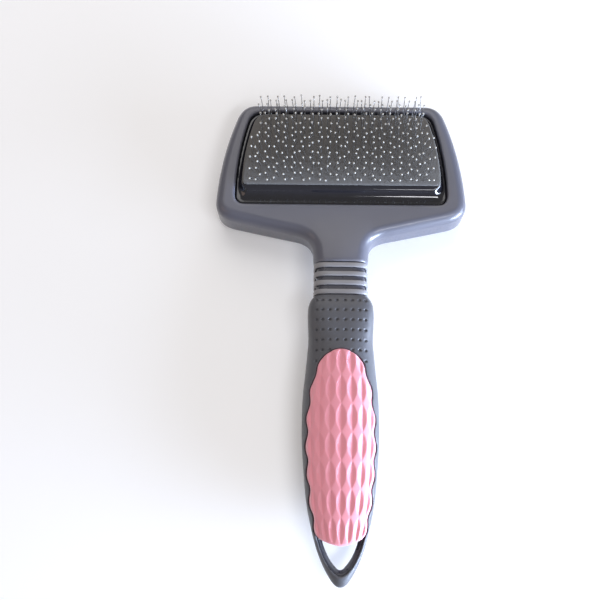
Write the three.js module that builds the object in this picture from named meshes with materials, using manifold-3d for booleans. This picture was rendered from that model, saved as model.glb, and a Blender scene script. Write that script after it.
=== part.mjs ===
// A slicker brush for grooming pets, in millimetres.
// The brush lies on its back: X runs across it, +Y from the tail to the head, +Z the way the pins point.
// The origin is on the surface it lies on, under the middle of its box.
//
// A T-shaped head frame holds a black tray with a cushion, a crowned rubber-and-cloth foundation and
// rows of fine wire pins. A dark handle core plugs into the frame's neck, carries four pale rings, and
// is covered by a soft sleeve with an inlaid thumb pad. A hang hole goes through the tail.
import * as THREE from "three";
import { mergeVertices } from "three/addons/utils/BufferGeometryUtils.js";
import Module from "manifold-3d";

const wasm = await Module();
wasm.setup();

// ---- Driving dimensions ----

const BRUSH_LENGTH = 224;
const HEAD_TOP = BRUSH_LENGTH / 2;
const TAIL_TIP = -BRUSH_LENGTH / 2;
const GAP = 0.3; // between any two pieces that touch

// Head frame
const FRAME_THICKNESS = 18.5;
const FRAME_ROUNDING = 4;
const HEAD_HALF_WIDTH = 59.4; // at the lower corners
const NECK_END = 29.5; // where the frame meets the first ring
const NECK_HALF_WIDTH = 12.4;
const FRAME_BACK = 3; // the back wall's thickness
const LEDGE_HEIGHT = 13.6; // the ledge inside the recess that the tray's flange rests on
const LEDGE_WIDTH = 2;

// Pin pad: its faces are arcs about one line across the brush
const PAD_BOTTOM = 67;
const PAD_TOP = 103.6;
const PAD_MIDDLE = (PAD_BOTTOM + PAD_TOP) / 2;
const PAD_CREST = 26;
const PAD_ARC_RADIUS = 48;
const PAD_ARC_HEIGHT = PAD_CREST - PAD_ARC_RADIUS;
const FOUNDATION_THICKNESS = 1.2;
const TRAY_FLANGE_TOP = 16.6;
const TRAY_BOTTOM = 9;
const TRAY_FLOOR = 2;
const TRAY_WALL = 1.6;

// Pins
const PIN_ROWS = 18;
const PIN_HEIGHT = 12;
const PIN_WIDTH = 0.55;
const PIN_BAR = 0.5; // the strip that joins a row's staples, just above the foundation
const ROW_SPREAD = 16.6; // from the pad's middle to its first and last rows
const STAPLE_PITCH = 8;
const STAPLE_SPAN = 2.7;
const PIN_MARGIN = 3.2; // clear strip at each end of a row
const SIDE_FAN = 0.02; // how far the pins lean outwards, as a share of their distance from the middle

// Handle: every section is a squared-off ellipse about one straight line
const HANDLE_FLATNESS = 0.7; // depth over width
const TAIL_POWER = 2; // how square a section is: 2 is a true ellipse, and more is squarer
const GRIP_POWER = 2.5;
const NECK_POWER = 4.5;
const GRIP_HALF_WIDTH = 17.1;
const HANDLE_AXIS = GRIP_HALF_WIDTH * HANDLE_FLATNESS; // so that the grip's belly touches the surface
const TANG_END = 43;
const TANG_RADIUS = 7.5;
const NECK_CORE_RADIUS = 11.3;
const COLLAR_TOP = 13.7;
const TAIL_FLOOR = HANDLE_AXIS + 1.7; // how deep the inlay's window is cut

// Rings on the neck
const RING_COUNT = 4;
const RING_PITCH = 4.25;
const RING_WIDTH = 2.5;
const RING_RADIUS = 12.6;
const FIRST_RING = NECK_END - GAP - RING_WIDTH / 2;

// Smoothness
const LATHE_STEPS = 28;
const CURVE_STEPS = 5;
const ARC_STEPS = 96;

// ---- Solids: closed meshes joined and cut ----

function solidOf(geometry) {
  const bare = new THREE.BufferGeometry();
  bare.setAttribute("position", geometry.getAttribute("position").clone());
  bare.setIndex(geometry.index);
  const merged = mergeVertices(bare, 1e-4);
  const corners = merged.index.array;
  const faces = [];
  for (let i = 0; i < corners.length; i += 3) {
    const [a, b, c] = [corners[i], corners[i + 1], corners[i + 2]];
    if (a !== b && b !== c && c !== a) faces.push(a, b, c);
  }
  return new wasm.Manifold(
    new wasm.Mesh({
      numProp: 3,
      vertProperties: new Float32Array(merged.attributes.position.array),
      triVerts: new Uint32Array(faces),
    }),
  );
}

function geometryOf(solid) {
  const { numProp, numVert, vertProperties, triVerts } = solid.getMesh();
  const position = new Float32Array(numVert * 3);
  for (let i = 0; i < numVert; i++) {
    position.set(vertProperties.subarray(i * numProp, i * numProp + 3), i * 3);
  }
  const geometry = new THREE.BufferGeometry();
  geometry.setAttribute("position", new THREE.BufferAttribute(position, 3));
  geometry.setIndex(new THREE.BufferAttribute(new Uint32Array(triVerts), 1));
  const faceted = geometry.toNonIndexed();
  faceted.computeVertexNormals();
  return faceted;
}

// The closed outline whose right half is a path from the lower end of the middle line to its upper end.
function symmetricShape(rightHalf) {
  const right = rightHalf.getPoints(CURVE_STEPS);
  const left = right.slice(1, -1).reverse();
  const mirrored = left.map((p) => new THREE.Vector2(-p.x, p.y));
  return new THREE.Shape([...right, ...mirrored]);
}

function prism(shape, bottom, top) {
  const geometry = new THREE.ExtrudeGeometry(shape, { depth: top - bottom, bevelEnabled: false });
  geometry.translate(0, 0, bottom);
  return solidOf(geometry);
}

// The sections are true ellipses at the tail, fuller at the grip and nearly flat-faced at the neck.
function sectionPower(y) {
  const toGrip = THREE.MathUtils.smoothstep(y, -104, -80);
  const toNeck = THREE.MathUtils.smoothstep(y, -14, 8);
  return TAIL_POWER + (GRIP_POWER - TAIL_POWER) * toGrip + (NECK_POWER - GRIP_POWER) * toNeck;
}

// A body about the handle's line, from a profile of [half width, y] that runs from tail to head.
function turned(profile) {
  const points = profile.map(([halfWidth, y]) => new THREE.Vector2(halfWidth, y));
  const geometry = new THREE.LatheGeometry(points, LATHE_STEPS);
  const position = geometry.getAttribute("position");
  for (let i = 0; i < position.count; i++) {
    const [x, z] = [position.getX(i), position.getZ(i)];
    const power = sectionPower(position.getY(i));
    const squared = (Math.abs(x) ** power + Math.abs(z) ** power) ** (1 / power);
    const stretch = squared > 0 ? Math.hypot(x, z) / squared : 1;
    position.setX(i, x * stretch);
    position.setZ(i, z * stretch);
  }
  geometry.scale(1, 1, HANDLE_FLATNESS);
  geometry.translate(0, 0, HANDLE_AXIS);
  return solidOf(geometry);
}

// A cylinder about the pad's arc centre, lying across the brush.
function padCylinder(radius) {
  const geometry = new THREE.CylinderGeometry(radius, radius, 3 * HEAD_HALF_WIDTH, ARC_STEPS);
  geometry.rotateZ(Math.PI / 2);
  geometry.translate(0, PAD_MIDDLE, PAD_ARC_HEIGHT);
  return solidOf(geometry);
}

// ---- Outlines, each drawn from the lower middle round the right side to the upper middle ----

function frameOutline() {
  const path = new THREE.Path();
  path.moveTo(0, NECK_END);
  path.lineTo(NECK_HALF_WIDTH, NECK_END);
  path.lineTo(12.9, 35.5);
  path.quadraticCurveTo(13.4, 42, 20.5, 43.8);
  path.lineTo(50.5, 50.8);
  path.quadraticCurveTo(59.5, 52.9, HEAD_HALF_WIDTH, 60.5);
  path.quadraticCurveTo(58.2, 84, 51, 104);
  path.quadraticCurveTo(48.4, HEAD_TOP, 41, HEAD_TOP);
  path.lineTo(0, HEAD_TOP);
  return symmetricShape(path);
}

function recessOutline(inset) {
  const bottom = 58.7 + inset;
  const top = 107.6 - inset;
  const path = new THREE.Path();
  path.moveTo(0, bottom);
  path.lineTo(45.5 - inset, bottom);
  path.quadraticCurveTo(50.4 - inset, bottom, 50.4 - inset, 64.5);
  path.quadraticCurveTo(50 - inset, 84, 45.4 - inset, 101);
  path.quadraticCurveTo(43.8 - inset, top, 37 - inset, top);
  path.lineTo(0, top);
  return symmetricShape(path);
}

function padHalfWidth(y) {
  const along = (y - PAD_BOTTOM) / (PAD_TOP - PAD_BOTTOM);
  return 46.8 - 6.4 * along ** 1.5;
}

function padOutline(inset) {
  const bottom = PAD_BOTTOM + inset;
  const top = PAD_TOP - inset;
  const path = new THREE.Path();
  path.moveTo(0, bottom);
  path.lineTo(44.2 - inset, bottom);
  path.quadraticCurveTo(padHalfWidth(PAD_BOTTOM) - inset, bottom, padHalfWidth(69.6) - inset, 69.6);
  path.quadraticCurveTo(padHalfWidth(85) + 0.6 - inset, 85, padHalfWidth(98) - inset, 98);
  path.quadraticCurveTo(padHalfWidth(PAD_TOP) - inset, top, 35.5 - inset, top);
  path.lineTo(0, top);
  return symmetricShape(path);
}

// The thumb pad's outline: a leaf with a round upper end and a shallow arc at its lower end.
function inlayOutline(outset) {
  const path = new THREE.Path();
  path.moveTo(0, -95.9 - outset);
  path.quadraticCurveTo(5 + outset, -95.6 - outset, 9 + outset, -92.6 - outset);
  path.splineThru([
    new THREE.Vector2(11.6 + outset, -85),
    new THREE.Vector2(13.7 + outset, -70),
    new THREE.Vector2(14.7 + outset, -50),
    new THREE.Vector2(13.4 + outset, -33),
    new THREE.Vector2(10.5 + outset, -20),
    new THREE.Vector2(6.4 + outset, -13.2 + outset),
    new THREE.Vector2(0, -11.4 + outset),
  ]);
  return symmetricShape(path);
}

// The hang hole: a triangle with bulging sides, its top edge following the thumb pad's end.
function hangHoleOutline(outset) {
  const path = new THREE.Path();
  path.moveTo(0, -105 - outset * 1.6);
  path.quadraticCurveTo(1.2 + outset, -105 - outset * 1.6, 2 + outset, -103.8 - outset);
  path.quadraticCurveTo(5.8 + outset, -100 - outset / 2, 7.9 + outset, -92.6);
  path.quadraticCurveTo(4.6, -94.6, 0, -94.6);
  return symmetricShape(path);
}

// ---- Profiles along the handle, [half width, y] from tail to head ----

const SLEEVE_PROFILE = [
  [0, TAIL_TIP],
  [2.4, -110.9],
  [4.9, -107.8],
  [7.8, -102.5],
  [10.4, -96],
  [12.4, -88.6],
  [14.65, -78],
  [16.1, -64],
  [16.9, -53],
  [GRIP_HALF_WIDTH, -42],
  [16.8, -32],
  [15.8, -21],
  [15.1, -13],
  [14.65, -7],
  [14.9, 0],
  [15, 6],
  [14.7, 9],
  [13.9, 11.3],
  [12.6, 13.1],
  [12, COLLAR_TOP],
  [0, COLLAR_TOP],
];

const GRIP_CORE_PROFILE = [
  [0, -110.3],
  [1.6, -109.6],
  [3.8, -107],
  [6.5, -102.5],
  [9, -96],
  [10.7, -88.6],
  [12.3, -78],
  [13.5, -64],
  [14.2, -53],
  [14.4, -42],
  [14.1, -32],
  [12.9, -21],
  [12.2, -13],
  [11.8, -7],
  [11.5, 0],
  [NECK_CORE_RADIUS, 8],
];

const NECK_BOSS_PROFILE = [
  [0, NECK_END],
  [NECK_HALF_WIDTH + 0.3, NECK_END],
  [12.9, 34],
  [11.8, 39],
  [9.5, 46],
  [0, 50],
];

function grown(profile, extra) {
  return profile.map(([halfWidth, y]) => [halfWidth === 0 ? 0 : halfWidth + extra, y]);
}

// ---- Pieces ----

function makeHeadFrame() {
  const plate = new THREE.ExtrudeGeometry(frameOutline(), {
    depth: FRAME_THICKNESS - 2 * FRAME_ROUNDING,
    bevelThickness: FRAME_ROUNDING,
    bevelSize: FRAME_ROUNDING,
    bevelOffset: -FRAME_ROUNDING,
    bevelSegments: 3,
  });
  plate.translate(0, 0, FRAME_ROUNDING);
  const recess = prism(recessOutline(0), LEDGE_HEIGHT, FRAME_THICKNESS + 1);
  const cavity = prism(recessOutline(LEDGE_WIDTH), FRAME_BACK, FRAME_THICKNESS + 1);
  const socket = turned([
    [0, NECK_END - 1],
    [TANG_RADIUS + GAP, NECK_END - 1],
    [TANG_RADIUS + GAP, TANG_END + GAP],
    [0, TANG_END + GAP],
  ]);
  const neckPlane = prism(
    new THREE.Shape([
      new THREE.Vector2(-HEAD_HALF_WIDTH, NECK_END - 10),
      new THREE.Vector2(HEAD_HALF_WIDTH, NECK_END - 10),
      new THREE.Vector2(HEAD_HALF_WIDTH, NECK_END),
      new THREE.Vector2(-HEAD_HALF_WIDTH, NECK_END),
    ]),
    -1,
    40,
  );
  const whole = solidOf(plate).add(turned(NECK_BOSS_PROFILE));
  return whole.subtract(recess).subtract(cavity).subtract(socket).subtract(neckPlane);
}

function makeHandleCore() {
  const body = turned([
    ...GRIP_CORE_PROFILE,
    [NECK_CORE_RADIUS, NECK_END - GAP],
    [TANG_RADIUS, NECK_END - GAP],
    [TANG_RADIUS, TANG_END],
    [0, TANG_END],
  ]);
  return body.subtract(prism(hangHoleOutline(0), -1, 40));
}

function makeGripSleeve() {
  const hollow = turned([...grown(GRIP_CORE_PROFILE, GAP), [NECK_CORE_RADIUS + GAP, 20], [0, 20]]);
  const window = prism(inlayOutline(GAP + 0.1), TAIL_FLOOR, 40);
  const tailWindow = prism(hangHoleOutline(1.5), -1, 40);
  return turned(SLEEVE_PROFILE).subtract(hollow).subtract(window).subtract(tailWindow);
}

function makeGripInlay() {
  const proud = 0.5;
  const leaf = prism(inlayOutline(0), TAIL_FLOOR + GAP, 40);
  const core = turned([...grown(GRIP_CORE_PROFILE, GAP), [NECK_CORE_RADIUS + GAP, 20], [0, 20]]);
  return turned(grown(SLEEVE_PROFILE, proud)).intersect(leaf).subtract(core);
}

function makeNeckRing(index) {
  const middle = FIRST_RING - index * RING_PITCH;
  const half = RING_WIDTH / 2;
  const inner = NECK_CORE_RADIUS + GAP;
  return turned([
    [inner, middle - half],
    [RING_RADIUS - 0.4, middle - half],
    [RING_RADIUS, middle],
    [RING_RADIUS - 0.4, middle + half],
    [inner, middle + half],
    [inner, middle - half],
  ]);
}

function makeTray() {
  const underFoundation = PAD_ARC_RADIUS - FOUNDATION_THICKNESS - GAP;
  const flange = prism(recessOutline(GAP + 0.1), LEDGE_HEIGHT + GAP, TRAY_FLANGE_TOP);
  const wall = prism(padOutline(0), TRAY_BOTTOM, 40).intersect(padCylinder(underFoundation));
  const pocket = prism(padOutline(TRAY_WALL), TRAY_BOTTOM + TRAY_FLOOR, 40);
  return flange.add(wall).subtract(pocket);
}

function makeCushion() {
  const underFoundation = PAD_ARC_RADIUS - FOUNDATION_THICKNESS - GAP;
  const bottom = TRAY_BOTTOM + TRAY_FLOOR + GAP;
  return prism(padOutline(TRAY_WALL + GAP), bottom, 40).intersect(padCylinder(underFoundation));
}

function makeFoundation() {
  const sheet = padCylinder(PAD_ARC_RADIUS).subtract(padCylinder(PAD_ARC_RADIUS - FOUNDATION_THICKNESS));
  return prism(padOutline(0), 0, 40).intersect(sheet);
}

// Where a row's wires stand along X. Staples in every other row are shifted by half a pitch.
function pinPlaces(row, y) {
  const limit = padHalfWidth(y) - PIN_MARGIN;
  const shift = row % 2 === 0 ? 0 : 0.5;
  const places = [];
  for (let k = -8; k <= 8; k++) {
    const middle = (k + shift) * STAPLE_PITCH;
    if (Math.abs(middle) + STAPLE_SPAN / 2 > limit) continue;
    places.push(middle - STAPLE_SPAN / 2, middle + STAPLE_SPAN / 2);
  }
  return places;
}

// One row of wires as a comb, drawn with X across and Y away from the pad's arc centre.
function combShape(places) {
  const barBottom = PAD_ARC_RADIUS + GAP;
  const barTop = barBottom + PIN_BAR;
  const tip = PAD_ARC_RADIUS + PIN_HEIGHT;
  const half = PIN_WIDTH / 2;
  const end = places[places.length - 1] + 2 * half;
  const shape = new THREE.Shape();
  shape.moveTo(-end, barBottom);
  shape.lineTo(end, barBottom);
  shape.lineTo(end, barTop);
  for (const x of [...places].reverse()) {
    const tipX = x * (1 + SIDE_FAN);
    shape.lineTo(x + half, barTop);
    shape.lineTo(tipX + half, tip);
    shape.lineTo(tipX - half, tip);
    shape.lineTo(x - half, barTop);
  }
  shape.lineTo(-end, barTop);
  return shape;
}

function makePinRow(row) {
  const across = -ROW_SPREAD + (2 * ROW_SPREAD * row) / (PIN_ROWS - 1);
  const lean = Math.asin(across / PAD_ARC_RADIUS);
  const comb = combShape(pinPlaces(row, PAD_MIDDLE + across));
  const geometry = new THREE.ExtrudeGeometry(comb, { depth: PIN_WIDTH, bevelEnabled: false });
  geometry.translate(0, 0, -PIN_WIDTH / 2);
  return { geometry, lean };
}

// ---- The scene graph ----

const FINISHES = {
  headFrame: { color: 0x75757f, roughness: 0.38, metalness: 0 },
  handleCore: { color: 0x2d2a30, roughness: 0.45, metalness: 0 },
  neckRing: { color: 0xb4b0bc, roughness: 0.45, metalness: 0 },
  gripSleeve: { color: 0x66686f, roughness: 0.8, metalness: 0 },
  gripInlay: { color: 0xf096aa, roughness: 0.7, metalness: 0 },
  tray: { color: 0x101016, roughness: 0.15, metalness: 0 },
  cushion: { color: 0x3a3836, roughness: 0.95, metalness: 0 },
  foundation: { color: 0x4c4a48, roughness: 0.9, metalness: 0 },
  pinWire: { color: 0xb8b8bc, roughness: 0.25, metalness: 1 },
};

const brush = new THREE.Group();

function addMesh(name, geometry, finish) {
  const mesh = new THREE.Mesh(geometry, new THREE.MeshStandardMaterial(finish));
  mesh.name = name;
  brush.add(mesh);
  return mesh;
}

addMesh("head_frame", geometryOf(makeHeadFrame()), FINISHES.headFrame);
addMesh("handle_core", geometryOf(makeHandleCore()), FINISHES.handleCore);
addMesh("grip_sleeve", geometryOf(makeGripSleeve()), FINISHES.gripSleeve);
addMesh("grip_inlay", geometryOf(makeGripInlay()), FINISHES.gripInlay);
for (let i = 0; i < RING_COUNT; i++) {
  addMesh(`neck_ring_${i + 1}`, geometryOf(makeNeckRing(i)), FINISHES.neckRing);
}
addMesh("pad_tray", geometryOf(makeTray()), FINISHES.tray);
addMesh("pad_cushion", geometryOf(makeCushion()), FINISHES.cushion);
addMesh("pin_foundation", geometryOf(makeFoundation()), FINISHES.foundation);
for (let row = 0; row < PIN_ROWS; row++) {
  const { geometry, lean } = makePinRow(row);
  const mesh = addMesh(`pin_row_${String(row + 1).padStart(2, "0")}`, geometry, FINISHES.pinWire);
  mesh.position.set(0, PAD_MIDDLE, PAD_ARC_HEIGHT);
  mesh.rotation.x = Math.PI / 2 - lean;
}

export default brush;
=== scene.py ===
"""A pet slicker brush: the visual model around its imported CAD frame.

The brush lies on its back, pins up: X runs across it, Y from the tail to the head, and Z up.

Solid pieces are made by sampling a signed distance on a grid, wrapping a net of quads round its zero
level and moving each point onto it. Shapes are given in millimetres and scaled to metres when a mesh
is made. The camera, the lights and the floor are given in metres.
"""

import math

import bpy
import numpy as np
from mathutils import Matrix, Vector


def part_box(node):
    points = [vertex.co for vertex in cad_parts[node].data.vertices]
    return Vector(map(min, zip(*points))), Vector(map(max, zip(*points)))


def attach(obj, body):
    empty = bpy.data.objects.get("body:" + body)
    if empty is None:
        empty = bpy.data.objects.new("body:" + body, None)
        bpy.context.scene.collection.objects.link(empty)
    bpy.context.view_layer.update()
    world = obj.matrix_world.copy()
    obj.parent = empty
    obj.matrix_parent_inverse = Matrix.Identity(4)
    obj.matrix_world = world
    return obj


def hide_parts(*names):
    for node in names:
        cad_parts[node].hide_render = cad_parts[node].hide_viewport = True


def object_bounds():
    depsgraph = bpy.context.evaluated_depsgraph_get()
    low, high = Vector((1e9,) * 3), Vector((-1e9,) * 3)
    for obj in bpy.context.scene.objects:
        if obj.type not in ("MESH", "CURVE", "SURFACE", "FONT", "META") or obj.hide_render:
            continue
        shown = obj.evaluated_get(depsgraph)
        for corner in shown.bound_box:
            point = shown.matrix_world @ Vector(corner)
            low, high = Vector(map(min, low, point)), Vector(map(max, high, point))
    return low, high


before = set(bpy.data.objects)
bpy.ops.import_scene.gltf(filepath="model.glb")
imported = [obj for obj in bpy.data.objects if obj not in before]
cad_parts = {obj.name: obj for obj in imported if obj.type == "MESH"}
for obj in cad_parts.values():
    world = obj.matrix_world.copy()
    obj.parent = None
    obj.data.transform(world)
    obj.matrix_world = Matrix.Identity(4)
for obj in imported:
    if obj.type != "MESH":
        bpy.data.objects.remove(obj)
CAD_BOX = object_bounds()
MM = 0.001


def box_mm(node):
    """The node's lowest and highest corners, in millimetres."""
    return [np.array(corner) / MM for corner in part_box(node)]


# ---- Sizes taken from the frame ----

TAIL_TIP = CAD_BOX[0].y / MM
HEAD_TOP = CAD_BOX[1].y / MM
HEAD_HALF_WIDTH = CAD_BOX[1].x / MM
GRIP_HALF_WIDTH = box_mm("grip_sleeve")[1][0]
COLLAR_TOP = box_mm("grip_sleeve")[1][1]
NECK_END = box_mm("head_frame")[0][1]
PAD_BOTTOM, PAD_TOP = box_mm("pin_foundation")[0][1], box_mm("pin_foundation")[1][1]
PAD_CREST = box_mm("pin_foundation")[1][2]
PIN_TOP = CAD_BOX[1].z / MM
RING_RADIUS = box_mm("neck_ring_1")[1][0]
RING_COUNT = sum(name.startswith("neck_ring_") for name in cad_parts)
PIN_ROWS = sum(name.startswith("pin_row_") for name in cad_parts)

# ---- Sizes that follow the CAD source ----

GAP = 0.3  # between any two pieces that touch

# Handle: every section is a squared-off ellipse about one straight line
FLATNESS = 0.7  # depth over width
HANDLE_AXIS = GRIP_HALF_WIDTH * FLATNESS
TAIL_POWER, GRIP_POWER, NECK_POWER = 2, 2.5, 4.5  # how square a section is: 2 is a true ellipse
NECK_CORE_RADIUS = 11.3
TANG_RADIUS, TANG_END = 7.5, 43
TAIL_FLOOR = HANDLE_AXIS + 1.7  # how deep the thumb pad's window is cut

# Head frame
FRAME_THICKNESS = 18.5
FRAME_BACK = 3  # the back wall's thickness
LEDGE_HEIGHT, LEDGE_WIDTH = 13.6, 2  # the ledge that the tray's flange rests on

# Pin pad: its faces are arcs about one line across the brush
PAD_MIDDLE = (PAD_BOTTOM + PAD_TOP) / 2
PAD_ARC_RADIUS = 48
PAD_ARC_HEIGHT = PAD_CREST - PAD_ARC_RADIUS
FOUNDATION_THICKNESS = 1.2
TRAY_FLANGE_TOP = 16.6
TRAY_BOTTOM, TRAY_FLOOR, TRAY_WALL = 9, 2, 1.6

# Pins
ROW_SPREAD = 16.6  # from the pad's middle to its first and last rows
STAPLE_PITCH, STAPLE_SPAN = 8, 2.7
PIN_MARGIN = 3.2  # clear strip at each end of a row
PIN_HEIGHT = PIN_TOP - PAD_CREST
SIDE_FAN = 0.02  # how far the pins lean outwards, as a share of their distance from the middle


# ---- Curves and outlines ----


def smooth_step(value, low, high):
    """0 below low, 1 above high and an even S between."""
    t = np.clip((value - low) / (high - low), 0, 1)
    return t * t * (3 - 2 * t)


def smooth_curve(knots):
    """A function that runs smoothly through knots of (place, value), and straight on past them."""
    place, value = np.array(knots, float).T
    slope = np.gradient(value, place)

    def at(p):
        i = np.clip(np.searchsorted(place, p) - 1, 0, len(place) - 2)
        span = place[i + 1] - place[i]
        t = np.clip((p - place[i]) / span, 0, 1)
        keep = value[i] * (1 + 2 * t) * (1 - t) ** 2 + value[i + 1] * t * t * (3 - 2 * t)
        lean = span * t * (1 - t) * (slope[i] * (1 - t) - slope[i + 1] * t)
        before = np.minimum(p - place[0], 0) * slope[0]
        after = np.maximum(p - place[-1], 0) * slope[-1]
        return keep + lean + before + after

    return at


def half_width_curve(knots):
    """The half width along Y, from knots of (half width, y). A curve of squares rounds a closed end."""
    squares = smooth_curve([(y, w * w) for w, y in knots])
    return lambda y: np.sqrt(np.maximum(squares(y), 0))


def bend(start, corner, end, steps=10):
    """The points of a quadratic curve after its start."""
    t = np.linspace(0, 1, steps + 1)[1:, None]
    a, b, c = (np.array(p, float) for p in (start, corner, end))
    return [tuple(p) for p in (1 - t) ** 2 * a + 2 * t * (1 - t) * b + t * t * c]


class Outline:
    """A closed outline, symmetric about X = 0, from its right half's points, lowest first."""

    def __init__(self, right_half):
        right = np.array(right_half, float)
        left = (right * [-1, 1])[::-1]
        start = np.vstack([right, left])
        apart = np.linalg.norm(start - np.roll(start, -1, axis=0), axis=1) > 1e-9
        self.start = start[apart]
        self.side = np.roll(self.start, -1, axis=0) - self.start

    def distance(self, x, y):
        """How far a point is from the outline, below zero inside."""
        x, y = np.broadcast_arrays(x, y)
        shape = x.shape
        x, y = x.ravel(), y.ravel()
        nearest = np.full(x.shape, 1e18)
        inside = np.zeros(x.shape, bool)
        for (ax, ay), (dx, dy) in zip(self.start, self.side):
            px, py = x - ax, y - ay
            t = np.clip((px * dx + py * dy) / (dx * dx + dy * dy), 0, 1)
            nearest = np.minimum(nearest, (px - t * dx) ** 2 + (py - t * dy) ** 2)
            if dy != 0:
                spans = (ay <= y) != (ay + dy <= y)
                inside ^= spans & (px < dx * py / dy)
        away = np.sqrt(nearest)
        return np.where(inside, -away, away).reshape(shape)


# ---- Distances ----


def smooth_min(a, b, blend):
    """The nearer of two distances, with a fillet where they meet."""
    h = np.clip(0.5 + 0.5 * (b - a) / blend, 0, 1)
    return b + (a - b) * h - blend * h * (1 - h)


def smooth_max(a, b, blend):
    """The further of two distances, with a rounded edge where they meet."""
    return -smooth_min(-a, -b, blend)


def rounded_prism(flat, z, low, high, radius):
    """A flat outline's distance given a thickness from low to high, with rounded edges."""
    middle, half = (low + high) / 2, (high - low) / 2
    u = flat + radius
    v = np.abs(z - middle) - half + radius
    out = np.hypot(np.maximum(u, 0), np.maximum(v, 0))
    return out + np.minimum(np.maximum(u, v), 0) - radius


def section_power(y):
    """How square the handle's section is: an ellipse at the tail, nearly flat-faced at the neck."""
    return (
        TAIL_POWER
        + (GRIP_POWER - TAIL_POWER) * smooth_step(y, -104, -80)
        + (NECK_POWER - GRIP_POWER) * smooth_step(y, -14, 8)
    )


def section_radius(x, y, z):
    """How wide the handle's squared section would be to pass through a point, and its slope."""
    up = np.abs(z - HANDLE_AXIS) / FLATNESS + 1e-9
    across = np.abs(x) + 1e-9
    n = section_power(y)
    radius = (across**n + up**n) ** (1 / n)
    steep = np.hypot((across / radius) ** (n - 1), (up / radius) ** (n - 1) / FLATNESS)
    return radius, np.maximum(steep, 0.3)


def handle_body(half_width, x, y, z, extra=0.0):
    """The distance from a body about the handle's line. half_width gives its half width at y."""
    radius, steep = section_radius(x, y, z)
    return (radius - half_width(y)) / steep - extra


# ---- Meshes ----

CORNERS = [(i, j, k) for i in (0, 1) for j in (0, 1) for k in (0, 1)]
AXIS_STEP = np.eye(3, dtype=int)


def axis_points(low, high, step):
    """Even grid planes from low to high, no more than a step apart."""
    count = max(2, math.ceil((high - low) / step) + 1)
    return np.linspace(low, high, count)


def net_surface(distance, axes):
    """Points and quads round the zero level of a distance that is sampled on a grid."""
    xs, ys, zs = axes
    sampled = distance(xs[:, None, None], ys[None, :, None], zs[None, None, :])
    sampled = np.broadcast_to(sampled, (len(xs), len(ys), len(zs)))
    inside = sampled < 0
    cells = tuple(n - 1 for n in sampled.shape)
    count = np.zeros(cells, int)
    for i, j, k in CORNERS:
        count += inside[i : i + cells[0], j : j + cells[1], k : k + cells[2]]
    mixed = (count > 0) & (count < 8)
    cell = np.argwhere(mixed)
    number = np.full(cells, -1)
    number[mixed] = np.arange(len(cell))
    total = np.zeros((len(cell), 3))
    hits = np.zeros(len(cell))
    for corner in CORNERS:
        for axis in range(3):
            if corner[axis]:
                continue
            a = cell + corner
            b = a + AXIS_STEP[axis]
            da, db = sampled[tuple(a.T)], sampled[tuple(b.T)]
            crosses = (da < 0) != (db < 0)
            share = np.where(crosses, da / np.where(crosses, da - db, 1), 0)
            total += (a + share[:, None] * (b - a)) * crosses[:, None]
            hits += crosses
    at = total / hits[:, None]
    points = np.stack([np.interp(at[:, k], np.arange(len(axes[k])), axes[k]) for k in range(3)], 1)
    quads = []
    for axis in range(3):
        second, third = (axis + 1) % 3, (axis + 2) % 3
        low = [slice(None)] * 3
        high = [slice(None)] * 3
        low[axis], high[axis] = slice(0, -1), slice(1, None)
        flips = inside[tuple(low)] != inside[tuple(high)]
        edge = np.argwhere(flips)
        whole = (edge[:, second] > 0) & (edge[:, second] < cells[second])
        whole &= (edge[:, third] > 0) & (edge[:, third] < cells[third])
        edge = edge[whole]
        back, down = AXIS_STEP[second], AXIS_STEP[third]
        around = [edge, edge - back, edge - back - down, edge - down]
        ring = np.stack([number[tuple(e.T)] for e in around], 1)
        outward = inside[tuple(edge.T)]
        quads.append(np.where(outward[:, None], ring, ring[:, ::-1]))
    return points, np.vstack(quads)


def settle(points, distance, limit, rounds=3, nudge=0.03):
    """Moves each point onto the distance's zero level, by at most limit in a round."""
    points = points.copy()
    for _ in range(rounds):
        here = distance(*points.T)
        slope = np.zeros_like(points)
        for k in range(3):
            ahead, behind = points.copy(), points.copy()
            ahead[:, k] += nudge
            behind[:, k] -= nudge
            slope[:, k] = (distance(*ahead.T) - distance(*behind.T)) / (2 * nudge)
        steep = np.maximum((slope**2).sum(1), 0.2)
        move = (here / steep)[:, None] * slope
        far = np.linalg.norm(move, axis=1)
        move *= np.minimum(1, limit / np.maximum(far, 1e-9))[:, None]
        points -= move
    return points


def make_object(name, points, faces):
    """A smooth mesh object, from points in millimetres."""
    mesh = bpy.data.meshes.new(name)
    mesh.from_pydata((np.asarray(points) * MM).tolist(), [], [tuple(face) for face in faces])
    mesh.polygons.foreach_set("use_smooth", [True] * len(mesh.polygons))
    mesh.update()
    obj = bpy.data.objects.new(name, mesh)
    bpy.context.scene.collection.objects.link(obj)
    return obj


def moulded(name, distance, axes):
    """A solid piece from its distance and the grid planes that it is sampled on."""
    points, quads = net_surface(distance, axes)
    finest = min(float(np.diff(planes).min()) for planes in axes)
    return make_object(name, settle(points, distance, 0.7 * finest), quads.tolist())


# ---- Outlines of the pieces, each from the lower middle round the right side ----


def frame_outline():
    """The head: a neck, sloping arms, round lower corners and tapering sides."""
    points = [(0, NECK_END - 8), (12.4, NECK_END - 8), (12.5, NECK_END), (13, 35.5)]
    points += bend((13, 35.5), (13.6, 42), (21, 43.9))
    points += [(50.5, 50.8)]
    points += bend((50.5, 50.8), (59.5, 52.9), (HEAD_HALF_WIDTH, 60.5), 14)
    points += bend((HEAD_HALF_WIDTH, 60.5), (58.2, 84), (51, 104), 18)
    points += bend((51, 104), (48.4, HEAD_TOP), (41, HEAD_TOP), 14)
    return Outline([*points, (0, HEAD_TOP)])


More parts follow.
